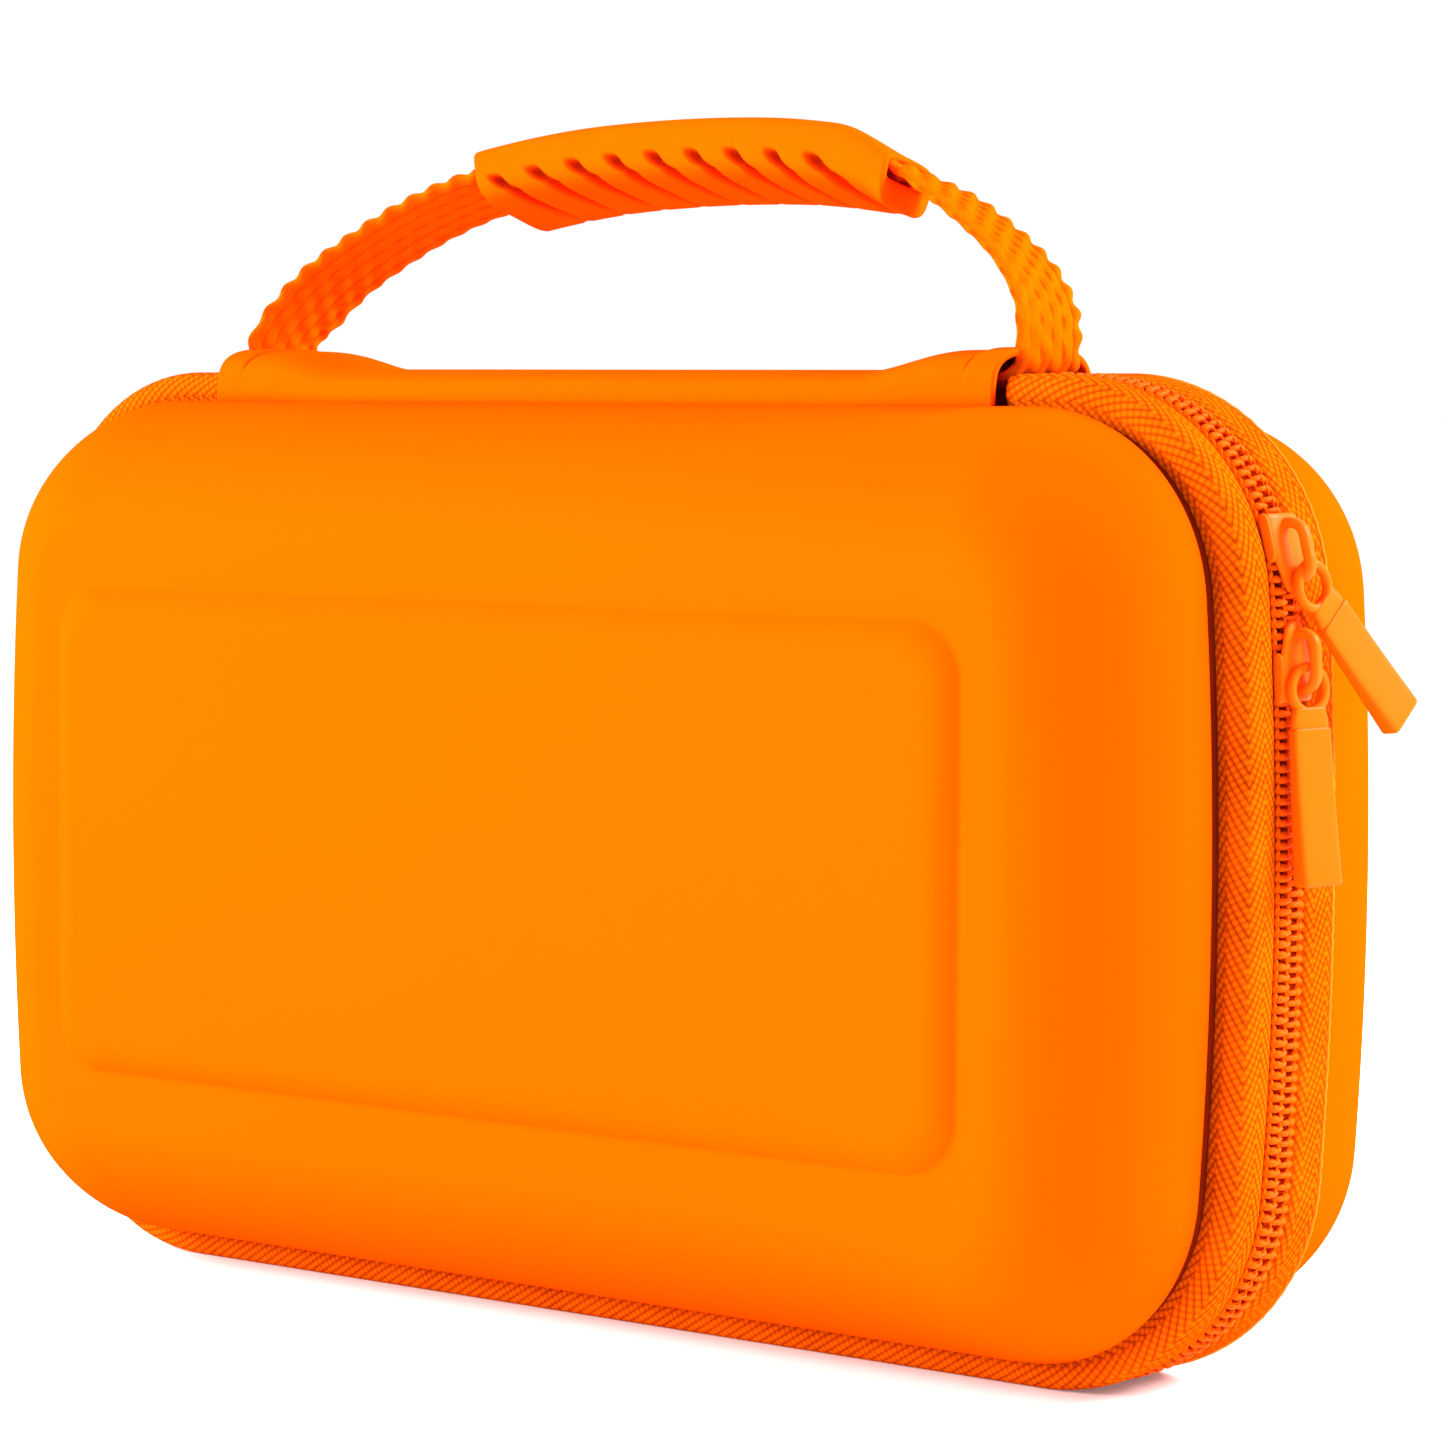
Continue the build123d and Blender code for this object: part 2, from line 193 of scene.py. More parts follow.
def outline(step=None, counts=None):
    """The case's outline at the rims, clockwise from the top's middle: points, outward normals, length so far."""
    arc = math.pi / 2 - SIDE_ANGLE
    lengths = [CORNER_X, CORNER * arc, SIDE * 2 * SIDE_ANGLE, CORNER * arc, 2 * CORNER_X,
               CORNER * arc, SIDE * 2 * SIDE_ANGLE, CORNER * arc, CORNER_X]
    if counts is None:
        counts = [max(2, round(length / step)) for length in lengths]
    points, normals = [], []
    for k, n in enumerate(counts):
        for i in range(n):
            t = i / n
            if k == 0:
                p, d = (CORNER_X * t, HALF_HEIGHT), math.pi / 2
            elif k == 8:
                p, d = (-CORNER_X * (1 - t), HALF_HEIGHT), math.pi / 2
            elif k == 4:
                p, d = (CORNER_X * (1 - 2 * t), -HALF_HEIGHT), -math.pi / 2
            elif k in (2, 6):
                d = SIDE_ANGLE * (1 - 2 * t) + (math.pi if k == 6 else 0)
                cx = SIDE_X if k == 2 else -SIDE_X
                p = (cx + SIDE * math.cos(d), SIDE * math.sin(d))
            else:
                first = {1: math.pi / 2, 3: -SIDE_ANGLE, 5: -math.pi / 2, 7: math.pi - SIDE_ANGLE}[k]
                d = first - arc * t
                sx, sz = {1: (1, 1), 3: (1, -1), 5: (-1, -1), 7: (-1, 1)}[k]
                p = (sx * CORNER_X + CORNER * math.cos(d), sz * CORNER_Z + CORNER * math.sin(d))
            points.append(p)
            normals.append((math.cos(d), math.sin(d)))
    points, normals = np.array(points), np.array(normals)
    gaps = np.linalg.norm(np.diff(points, axis=0), axis=1)
    return points, normals, np.concatenate([[0], np.cumsum(gaps)])


def rounded_rectangle(half_x, half_z, radius, counts):
    """Same order of points as outline(), for a rectangle with round corners."""
    cx, cz = half_x - radius, half_z - radius
    points = []
    for k, n in enumerate(counts):
        for i in range(n):
            t = i / n
            if k in (1, 3, 5, 7):
                d = {1: 90, 3: 0, 5: -90, 7: 180}[k] - 90 * t
                sx, sz = {1: (1, 1), 3: (1, -1), 5: (-1, -1), 7: (-1, 1)}[k]
                a = math.radians(d)
                points.append((sx * cx + radius * math.cos(a), sz * cz + radius * math.sin(a)))
            else:
                points.append({0: (cx * t, half_z), 2: (half_x, cz * (1 - 2 * t)), 4: (cx * (1 - 2 * t), -half_z),
                               6: (-half_x, -cz * (1 - 2 * t)), 8: (-cx * (1 - t), half_z)}[k])
    return np.array(points)


# ---------------------------------------------------------------- materials
class Nodes:
    """Small helper that adds and links shader nodes."""

    def __init__(self, name):
        self.material = bpy.data.materials.new(name)
        self.material.use_nodes = True
        self.tree = self.material.node_tree
        self.shader = self.tree.nodes["Principled BSDF"]

    def add(self, kind, **values):
        node = self.tree.nodes.new(kind)
        for key, value in values.items():
            if key in node.inputs.keys() and not hasattr(node, key):
                node.inputs[key].default_value = value
            else:
                setattr(node, key, value)
        return node

    def link(self, a, b):
        self.tree.links.new(a, b)

    def math(self, operation, *sockets):
        node = self.tree.nodes.new("ShaderNodeMath")
        node.operation = operation
        for i, s in enumerate(sockets):
            if isinstance(s, (int, float)):
                node.inputs[i].default_value = s
            else:
                self.link(s, node.inputs[i])
        return node.outputs[0]

    def mix(self, factor, a, b):
        node = self.tree.nodes.new("ShaderNodeMix")
        node.data_type = "RGBA"
        self.link(factor, node.inputs[0])
        for socket, value in ((node.inputs[6], a), (node.inputs[7], b)):
            if isinstance(value, tuple):
                socket.default_value = value
            else:
                self.link(value, socket)
        return node.outputs[2]

    def noise(self, scale, detail=2.0, coords=None, stretch=None):
        node = self.add("ShaderNodeTexNoise")
        node.inputs["Scale"].default_value = scale
        node.inputs["Detail"].default_value = detail
        if coords is None:
            coords = self.add("ShaderNodeTexCoord").outputs["Object"]
        if stretch:
            mapping = self.add("ShaderNodeMapping")
            mapping.inputs["Scale"].default_value = stretch
            self.link(coords, mapping.inputs["Vector"])
            coords = mapping.outputs[0]
        self.link(coords, node.inputs["Vector"])
        return node.outputs["Fac"]

    def bump(self, height, strength, distance):
        node = self.add("ShaderNodeBump")
        node.inputs["Strength"].default_value = strength
        node.inputs["Distance"].default_value = distance
        self.link(height, node.inputs["Height"])
        return node.outputs[0]

    def set(self, **values):
        """Constants on the shader's sockets; an underscore stands for a space in the socket's name."""
        for key, value in values.items():
            self.shader.inputs[key.replace("_", " ")].default_value = value


ORANGE = (1.0, 0.076, 0.0, 1)
ORANGE_DEEP = (1.0, 0.066, 0.0, 1)


def soft_touch():
    """Smooth fabric laminated on moulded foam, with a very fine weave."""
    m = Nodes("moulded_cover")
    m.set(Roughness=0.6, Specular_IOR_Level=0.0)
    coords = m.add("ShaderNodeTexCoord").outputs["Object"]
    tone = m.noise(14, 3, coords)
    fine = m.noise(1400, 2, coords, (1, 1, 1.6))
    streak = m.noise(420, 2, coords, (0.3, 1, 2.2))
    colour = m.mix(m.math("MULTIPLY", tone, 0.35), ORANGE, ORANGE_DEEP)
    m.link(colour, m.shader.inputs["Base Color"])
    height = m.math("ADD", m.math("MULTIPLY", fine, 0.6), m.math("MULTIPLY", streak, 0.4))
    m.link(m.bump(height, 0.12, 0.0002), m.shader.inputs["Normal"])
    return m.material


def leatherette():
    """Smooth coated cloth with a fine grain of cells."""
    m = Nodes("seam_leatherette")
    m.set(Roughness=0.5, Specular_IOR_Level=0.0)
    coords = m.add("ShaderNodeTexCoord").outputs["Object"]
    cells = m.add("ShaderNodeTexVoronoi", feature="DISTANCE_TO_EDGE")
    cells.inputs["Scale"].default_value = 1300
    m.link(coords, cells.inputs["Vector"])
    tone = m.noise(40, 2, coords)
    m.link(m.mix(m.math("MULTIPLY", tone, 0.3), ORANGE, ORANGE_DEEP), m.shader.inputs["Base Color"])
    grain = m.math("MINIMUM", m.math("MULTIPLY", cells.outputs["Distance"], 4.0), 1.0)
    m.link(m.bump(grain, 0.1, 0.0001), m.shader.inputs["Normal"])
    return m.material


def herringbone():
    """Twill tape: slanted ribs that change direction from column to column. UV is in millimetres."""
    m = Nodes("zip_tape")
    m.set(Roughness=0.8, Specular_IOR_Level=0.0)
    uv = m.add("ShaderNodeUVMap").outputs[0]
    parts = m.add("ShaderNodeSeparateXYZ")
    m.link(uv, parts.inputs[0])
    u, v = parts.outputs[0], parts.outputs[1]
    column, rib_pitch, slope, stitch = 4.2, 2.4, 1.6, 1.25
    zigzag = m.math("PINGPONG", m.math("ADD", v, 0.8), column)
    slanted = m.math("DIVIDE", m.math("ADD", u, m.math("MULTIPLY", zigzag, slope)), rib_pitch)
    rib = m.math("ABSOLUTE", m.math("SINE", m.math("MULTIPLY", slanted, math.pi)))
    back = m.math("DIVIDE", m.math("SUBTRACT", u, m.math("MULTIPLY", zigzag, 0.5)), stitch)
    knot = m.math("ABSOLUTE", m.math("SINE", m.math("MULTIPLY", back, math.pi)))
    relief = m.math("MULTIPLY", m.math("POWER", rib, 0.7), m.math("ADD", m.math("MULTIPLY", knot, 0.55), 0.45))
    patches = m.math("MULTIPLY", m.math("SUBTRACT", m.noise(90, 3), 0.5), 0.5)
    # colour darker in the valleys between the ribs and the knots: painted shade; the noise patches are random tone
    rib_shade_and_patches = m.math("ADD", m.math("MULTIPLY", relief, 0.9), patches)
    m.link(m.mix(rib_shade_and_patches, (0.26, 0.016, 0.0, 1), (0.78, 0.115, 0.001, 1)), m.shader.inputs["Base Color"])
    m.link(m.bump(relief, 0.4, 0.0002), m.shader.inputs["Normal"])
    return m.material


def webbing():
    """Spun polyester: fine twisted threads over the modelled weave."""
    m = Nodes("webbing")
    m.set(Roughness=0.8, Specular_IOR_Level=0.0)
    uv = m.add("ShaderNodeUVMap").outputs[0]
    parts = m.add("ShaderNodeSeparateXYZ")
    m.link(uv, parts.inputs[0])
    u, v = parts.outputs[0], parts.outputs[1]
    twist = m.math("ADD", v, m.math("MULTIPLY", u, 0.25))
    thread = m.math("ABSOLUTE", m.math("SINE", m.math("MULTIPLY", twist, math.pi / THREAD_PITCH)))
    tone = m.noise(300, 3)
    cord = m.math("PINGPONG", m.math("ADD", v, WEBBING_WIDTH / 2), WEBBING_WIDTH / COLUMNS / 2)
    crown = m.math("MINIMUM", m.math("MULTIPLY", cord, 2.2), 1.0)
    # colour darker between the twisted threads and towards each cord's edges: painted shade; the noise is random
    # tone
    cord_shade_and_tone = m.math("MULTIPLY", m.math("MULTIPLY", m.math("ADD", thread, tone), 0.6), crown)
    m.link(m.mix(cord_shade_and_tone, (0.72, 0.05, 0.0, 1), (1.0, 0.11, 0.0, 1)), m.shader.inputs["Base Color"])
    m.link(m.bump(m.math("ADD", thread, m.math("MULTIPLY", tone, 0.5)), 0.45, 0.00012), m.shader.inputs["Normal"])
    return m.material


def simple(name, colour, deep, roughness, specular, scale, strength, distance, sheen=0.0):
    """Two close tones in soft patches, with a fine grain of the given scale, strength and depth in metres."""
    m = Nodes(name)
    m.set(Roughness=roughness, Specular_IOR_Level=specular)
    if sheen:
        m.set(Sheen_Weight=sheen, Sheen_Roughness=0.5)
    coords = m.add("ShaderNodeTexCoord").outputs["Object"]
    fine = m.noise(scale, 3, coords)
    m.link(m.mix(m.noise(scale / 12, 2, coords), colour, deep), m.shader.inputs["Base Color"])
    m.link(m.bump(fine, strength, distance), m.shader.inputs["Normal"])
    return m.material


def moulded_rubber():
    """Soft rubber of the grip, with painted shade in its grooves, where UV's first value rises from 0 to 1."""
    m = Nodes("soft_grip")
    m.set(Roughness=0.6, Specular_IOR_Level=0.0)
    coords = m.add("ShaderNodeTexCoord").outputs["Object"]
    parts = m.add("ShaderNodeSeparateXYZ")
    m.link(m.add("ShaderNodeUVMap").outputs[0], parts.inputs[0])
    # UV's first value, the groove depth, masks the painted shade in the grooves
    inside = m.math("MINIMUM", parts.outputs[0], 1.0)
    patchy = m.mix(m.noise(130, 2, coords), (1.0, 0.085, 0.0, 1), (1.0, 0.072, 0.0, 1))
    m.link(m.mix(inside, patchy, (0.5, 0.03, 0.0, 1)), m.shader.inputs["Base Color"])
    m.link(m.bump(m.noise(1600, 3, coords), 0.08, 0.0001), m.shader.inputs["Normal"])
    return m.material


def knit():
    """Dark knitted mesh: a hexagonal net of holes."""
    m = Nodes("mesh")
    m.set(Roughness=0.8)
    coords = m.add("ShaderNodeTexCoord").outputs["Object"]
    mapping = m.add("ShaderNodeMapping")
    mapping.inputs["Scale"].default_value = (1, 0, 1)
    m.link(coords, mapping.inputs["Vector"])
    cells = m.add("ShaderNodeTexVoronoi", feature="DISTANCE_TO_EDGE")
    cells.inputs["Scale"].default_value = 420
    cells.inputs["Randomness"].default_value = 0.15
    m.link(mapping.outputs[0], cells.inputs["Vector"])
    net = m.math("LESS_THAN", cells.outputs["Distance"], 0.16)
    m.link(m.mix(net, (0.008, 0.008, 0.009, 1), (0.045, 0.045, 0.05, 1)), m.shader.inputs["Base Color"])
    m.link(m.bump(net, 0.8, 0.0003), m.shader.inputs["Normal"])
    return m.material


COVER = soft_touch()
LEATHER = leatherette()
TAPE = herringbone()
WEBBING = webbing()
COIL = simple("zip_coil", (0.85, 0.09, 0.0, 1), (0.75, 0.07, 0.0, 1), 0.45, 0.02, 900, 0.05, 0.0001)
THREAD = simple("coil_thread", (0.9, 0.1, 0.0, 1), (0.75, 0.065, 0.0, 1), 0.8, 0.0, 2500, 0.4, 0.0001)
EDGE = simple("edge_cord", (1.0, 0.19, 0.012, 1), (1.0, 0.15, 0.006, 1), 0.8, 0.0, 2500, 0.4, 0.0001)
# the seam strips' near-black colour is painted shade of the groove between shell rim and tape
SEAM_SHADE = simple("seam_painted_shade", (0.2, 0.012, 0.0, 1), (0.12, 0.007, 0.0, 1), 0.9, 0.05, 1500, 0.5, 0.0002)
PAINT = simple("painted_slider", (0.9, 0.11, 0.001, 1), (0.86, 0.095, 0.0, 1), 0.32, 0.04, 500, 0.05, 0.0002)
GRIP = moulded_rubber()
LINING = simple("lining_fabric", (0.03, 0.03, 0.034, 1), (0.018, 0.018, 0.02, 1), 0.9, 0.2, 1800, 0.5, 0.0003,
                sheen=0.4)
FOAM = simple("tray_foam", (0.035, 0.035, 0.04, 1), (0.022, 0.022, 0.025, 1), 0.95, 0.15, 2600, 0.6, 0.0003,
              sheen=0.6)
STIFF = simple("stiffener", (0.3, 0.3, 0.3, 1), (0.26, 0.26, 0.26, 1), 0.5, 0.4, 300, 0.1, 0.0002)
MESH = knit()


# ---------------------------------------------------------------- shells
# points along each straight, corner and bowed side of the outline, clockwise from the top's middle
COUNTS = [40, 26, 40, 26, 80, 26, 40, 26, 40]


def drop_at(y, rim, face, inset, power):
    """How far the side has drawn in from the rim at y."""
    depth = min(1.0, abs((y - rim) / (face - rim)))
    return inset * (1 - (1 - depth ** power) ** (1 / power))


def shell(name, rim, face, inset, power, panel, body):
    """Moulded shell: a short inner wall, a rolled rim, the soft outer side and the flat face."""
    side = 1 if face > rim else -1
    points, normals, _ = outline(counts=COUNTS)
    rings = []

    def flat_ring(shape, y):
        rings.append(np.column_stack([shape[:, 0], np.full(len(shape), y), shape[:, 1]]))

    roll, steps = 1.7, 34
    profile = [(-2 * roll, rim + side * 9), (-2 * roll, rim + side * (roll + 1.5))]
    for i in range(9):
        a = math.pi * i / 8
        profile.append((-roll - roll * math.cos(a), rim + side * (roll - roll * math.sin(a))))
    for i in range(1, steps + 1):
        v = math.sin(math.pi / 2 * i / steps)
        y = rim + side * (roll + v * (abs(face - rim) - roll))
        profile.append((-drop_at(y, rim, face, inset, power), y))
    for grow, y in profile:
        flat_ring(points + grow * normals, y)
    edge = points - inset * normals

    if panel:
        half_x, half_z, radius, raised = 101.5, 45.3, 10.0, 2.5
        crease = rounded_rectangle(half_x, half_z, radius, COUNTS)
        for t in (0.35, 0.7, 0.9):
            flat_ring(edge * (1 - t) + crease * t, face)
        width = 6.2
        for i in range(15):
            d = width * i / 14
            height = raised * (0.88 * (1 - (1 - d / width) ** 2.4) + 0.12 * float(smooth(d, 0, width)))
            shape = rounded_rectangle(half_x - d, half_z - d, max(radius - d * 0.6, 3.0), COUNTS)
            flat_ring(shape, face + side * height)
        inner_x, inner_z = half_x - width, half_z - width
        top = face + side * raised
    else:
        inner_x, inner_z, top = edge[:, 0].max(), edge[:, 1].max(), face
    last = rings[-1][:, [0, 2]]
    core = rounded_rectangle(inner_x - 8, inner_z - 8, 1.0, COUNTS)
    for t in (0.5, 1.0):
        flat_ring(last * (1 - t) + core * t, top)
    n = len(points)
    faces = grid_faces(len(rings), n, close_columns=True, flip=side > 0)
    tail = list(range((len(rings) - 1) * n, len(rings) * n))
    faces.append(tail[::-1] if side > 0 else tail)
    make(name + "_skin", np.concatenate(rings), faces, body, COVER, "moulded_cover", replaces=[name])


shell("front_shell", -15.5, -44.5, 24.0, 1.7, True, "lid")
shell("rear_shell", 14.0, 46.0, 14.0, 3.0, False, "base")


# ---------------------------------------------------------------- zip tapes
def zip_path(step):
    """The outline from the right end of the spine, under the case, to the left end."""
    points, normals, length = outline(step)
    inside = (points[:, 1] > 60) & (np.abs(points[:, 0]) < SPINE_HALF + 0.4)
    keep = ~inside
    return points[keep], normals[keep], length[keep]


def sweep(name, profile, step, body, material, slot, replaces=()):
    """Open strip with a profile of (growth, y) along the zip's path. UV is in millimetres, along and across."""
    points, normals, length = zip_path(step)
    profile = np.array(profile, float)
    across = np.concatenate([[0], np.cumsum(np.linalg.norm(np.diff(profile, axis=0), axis=1))])
    rows = []
    for k in range(len(points)):
        p = points[k][None, :] + profile[:, :1] * normals[k][None, :]
        rows.append(np.column_stack([p[:, 0], profile[:, 1], p[:, 1]]))
    uv = np.array([(s, a) for s in length for a in across])
    faces = grid_faces(len(points), len(profile))
    return make(name, np.concatenate(rows), faces, body, material, slot, uv=uv, replaces=replaces)


front_profile = spline([(-2.4, -12.9), (0.2, -13.5), (1.5, -14.0), (3.2, -13.9), (4.7, -13.1), (5.35, -11.6),
                        (5.4, -9.5), (5.3, -7.0), (4.9, -5.3), (3.9, -4.5), (2.9, -4.2), (2.75, -3.2),
                        (2.75, -0.7)], 4)
rear_profile = spline([(2.75, 0.7), (2.75, 3.2), (2.9, 4.2), (3.9, 4.5), (4.9, 5.2), (5.3, 6.6), (5.4, 9.0),
                       (5.4, 11.4), (5.35, 12.6), (4.9, 13.1), (3.5, 13.1), (1.8, 13.0), (0.4, 13.0),
                       (-2.4, 12.6)], 4)
for tape_name, tape_profile, tape_body, tape_node in (
        ("front_tape_weave", front_profile, "lid", "front_zip_tape"),
        ("rear_tape_weave", rear_profile, "base", "rear_zip_tape")):
    tape = sweep(tape_name, tape_profile, 1.6, tape_body, TAPE, "zip_tape", replaces=[tape_node])
    solidify(tape, 0.7, offset=1)

# lining that covers the tapes' backs, then the strips sewn between shell and tape, coloured near black as painted
# shade of the groove between them
lid_facing = spline([(1.9, -2.2), (1.6, -5.0), (0.4, -8.5), (-1.6, -11.4), (-4.0, -13.6), (-4.3, -19.0)], 3)
base_facing = spline([(1.9, 2.2), (1.6, 4.6), (0.4, 7.5), (-1.6, 10.2), (-4.0, 12.4), (-4.3, 17.0)], 3)
sweep("lid_facing", lid_facing, 2.4, "lid", LINING, "lining_fabric")
sweep("base_facing", base_facing, 2.4, "base", LINING, "lining_fabric")
sweep("front_seam_strip", [(-3.3, -15.2), (-1.3, -15.2), (-0.9, -14.6), (-0.9, -12.0), (-3.3, -11.8)], 2.4, "lid",
      SEAM_SHADE, "zip_tape", replaces=["front_seam_binding"])
sweep("rear_seam_strip", [(-3.3, 10.8), (-0.9, 10.8), (-0.9, 13.2), (-3.3, 13.6)], 2.4, "base",
      SEAM_SHADE, "zip_tape", replaces=["rear_seam_binding"])


# ---------------------------------------------------------------- zip coils
PITCH, STEPS_PER_PITCH = 1.79, 8


def coil(name, side, body, node):
    """One half of the zip: bent filament teeth, one per pitch, each with a head that meets the other half."""
    points, normals, length = zip_path(0.25)
    total = length[-1] - length[0]
    # one tooth: along the zip, across it, and out from the outline
    path = spline([(0.0, 3.25, 3.2), (0.0, 3.5, 3.9), (0.0, 3.25, 4.6), (0.0, 2.4, 5.0), (0.0, 1.4, 5.05),
                   (0.0, 0.5, 4.9), (0.0, -0.2, 4.35), (0.0, -0.15, 3.7), (0.0, 0.7, 3.35)], 2)
    width = 0.46 + 0.2 * np.exp(-((path[:, 1] - 2.7) / 1.1) ** 2)
    verts, faces = tube(path, width, 8)
    teeth = []
    for i in range(int(total / PITCH)):
        s = length[0] + (i + (0.5 if side > 0 else 0.0) + 0.2) * PITCH
        k = min(np.searchsorted(length, s), len(length) - 1)
        p, n = points[k], normals[k]
        tangent = np.array([n[1], -n[0]])
        level, across, along = verts[:, 2], verts[:, 1] * side, verts[:, 0]
        world = np.column_stack([p[0] + n[0] * level + tangent[0] * along, across,
                                 p[1] + n[1] * level + tangent[1] * along])
        teeth.append((world, faces))
    make(name, *joined(teeth), body, COIL, "zip_coil", replaces=[node])
    # chain of stitches that holds the filament to the tape
    points, normals, length = zip_path(PITCH / STEPS_PER_PITCH)
    phase = 2 * math.pi * (length - length[0]) / PITCH
    for row, (across, level, size, sway) in enumerate(((1.75, 5.35, 0.2, 0.1), (3.95, 4.55, 0.42, 0.16))):
        wave = level + 0.14 * np.cos(phase)
        place = (across + sway * np.sin(phase)) * side
        line = np.column_stack([points[:, 0] + normals[:, 0] * wave, place, points[:, 1] + normals[:, 1] * wave])
        tv, tf = tube(line, size * (0.75 + 0.35 * np.cos(phase)), 6)
        make(f"{name}_thread_{row}", tv, tf, body, THREAD, "zip_coil")


def tape_edge():
    """Raised edge of the rear tape, next to the rear shell."""
    points, normals, length = zip_path(0.5)
    line = np.column_stack([points[:, 0] + 5.35 * normals[:, 0], 12.95 + 0.12 * np.sin(length * 2.4),
                            points[:, 1] + 5.35 * normals[:, 1]])
    make("rear_tape_edge", *tube(line, 0.34, 8), "base", EDGE, "zip_tape")


coil("front_coil_teeth", -1, "lid", "front_zip_coil")
coil("rear_coil_teeth", 1, "base", "rear_zip_coil")
tape_edge()


# ---------------------------------------------------------------- spine
SPINE_BOTTOM, SPINE_TOP, SPINE_RISE, SPINE_MIDDLE, SPINE_DEPTH = 78.6, 84.5, 3.4, -0.8, 14.3
HEM_INNER, HEM_OUTER, HEM_HEIGHT = 82.1, 82.9, 0.45


def spine_top(x):
    """Height of the cover, which rises over the handle's sewn tails."""
    return SPINE_TOP + SPINE_RISE * smooth(np.abs(x), 58, 77)


def spine():
    """Cover over the top of the case, with a folded hem at each end."""
    xs = np.concatenate([np.linspace(-88, -81.2, 18), np.linspace(-80.6, 80.6, 200), np.linspace(81.2, 88, 18)])
    n = 40
    rows = []
    for x in xs:
        top = float(spine_top(x))
        stitch = 0.35 * math.exp(-((abs(x) - 82.0) / 0.5) ** 2)
        hem = HEM_HEIGHT * float(smooth(abs(x), HEM_INNER, HEM_OUTER)) - stitch
        row = []
        for j in range(n + 1):
            a = math.pi * j / n
            cy, sz = -math.cos(a), math.sin(a)
            y = SPINE_MIDDLE + SPINE_DEPTH * math.copysign(abs(cy) ** 0.62, cy)
            z = SPINE_BOTTOM + (top + hem - SPINE_BOTTOM) * abs(sz) ** 0.42
            row.append((x, y, z))
        rows.append(row)
    points = np.array(rows).reshape(-1, 3)
    obj = make("spine_wrap", points, grid_faces(len(xs), n + 1), "spine", LEATHER, "seam_leatherette",
               replaces=["spine_cover"])
    solidify(obj, 1.2, offset=-1)


def gusset(name, profile):
    """Strip of lining sewn inside a fold, from one body's edge to the next."""
    line = spline(profile, 6)
    xs = np.linspace(-SPINE_HALF + 1.5, SPINE_HALF - 1.5, 90)
    points = [(x, y, z) for x in xs for y, z in line]
    obj = make(name, points, grid_faces(len(xs), len(line)), None, LEATHER, "seam_leatherette")
    solidify(obj, 0.5)
    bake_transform(obj)


spine()
gusset("lid_gusset", [(-11.5, 75.7), (-13.0, 75.6), (-15.0, 75.4), (-17.0, 75.3), (-19.5, 75.3)])
gusset("base_gusset", [(18.5, 75.3), (16.0, 75.3), (13.8, 75.4), (12.0, 75.6), (10.5, 75.7)])


# ---------------------------------------------------------------- handle
HINGE_LEVEL, HINGE_Y, LEAN = 88.5, 1.5, math.radians(22.0)
GRIP_FROM, GRIP_TO = -40.5, 49.5
GRIP_HALF, GRIP_TOP, GRIP_BOTTOM = 12.0, 4.3, 7.3
GROOVES, FIRST_GROOVE, GROOVE_PITCH, GROOVE_DEPTH = 9, -37.0, 9.15, 3.2


def lean_point(x, h, w):
    """Point of the handle: x, height above the hinge line in the leaning plane, and place across the webbing."""
    rise = float(smooth(h, -1.0, 9.0))
    lean = LEAN * rise
    turn = math.radians(float(np.interp(x, (-70, -40, 42, 60, 80), (13, 17, 17, 6, 5)))) * rise
    y = HINGE_Y + h * math.sin(lean) + w * math.cos(turn)
    z = HINGE_LEVEL + h * math.cos(lean) - w * math.sin(turn)
    return (x, y, z)


# centreline of the webbing, from one sewn tail over the top to the other: x and height above the hinge line
STRAP = [(-66, -4.4), (-75, -4.6), (-82.5, -4.3), (-86.6, -2.4), (-87.5, 1.2), (-85.6, 6.4), (-81.3, 12.6),
         (-74.5, 18.6), (-61, 27), (-46, 32.8), (-23, 37.2), (0, 38.8), (23, 38.6), (40, 36.8), (49, 34.8),
         (61, 28.9), (74.5, 20.0), (81.5, 13.4), (86, 6.6), (87.5, 1.2), (86.6, -2.4), (82.5, -4.3),
         (75, -4.6), (66, -4.4)]


def resample(curve, step):
    """Points along a curve at an even step, and the length to each."""
    d = np.concatenate([[0], np.cumsum(np.linalg.norm(np.diff(curve, axis=0), axis=1))])
    s = np.linspace(0, d[-1], int(d[-1] / step) + 1)
    return np.column_stack([np.interp(s, d, curve[:, i]) for i in range(curve.shape[1])]), s


centre, centre_s = resample(spline(STRAP, 20), 0.42)
tangent = np.gradient(centre, axis=0)
tangent /= np.linalg.norm(tangent, axis=1)[:, None]
normal = np.column_stack([-tangent[:, 1], tangent[:, 0]])


def weave(s, w):
    """Height of the plain weave at a point of the webbing, from 0 to 1."""
    place = (w + WEBBING_WIDTH / 2) / (WEBBING_WIDTH / COLUMNS)
    c = np.floor(place)
    local = (place - c) * 2 - 1
    wave = 0.5 + 0.5 * np.cos(2 * math.pi * s / WEAVE + math.pi * c + 0.5 * local)
    return (0.25 + 0.75 * wave) * np.sqrt(np.clip(1 - 0.92 * local ** 2, 0, 1))


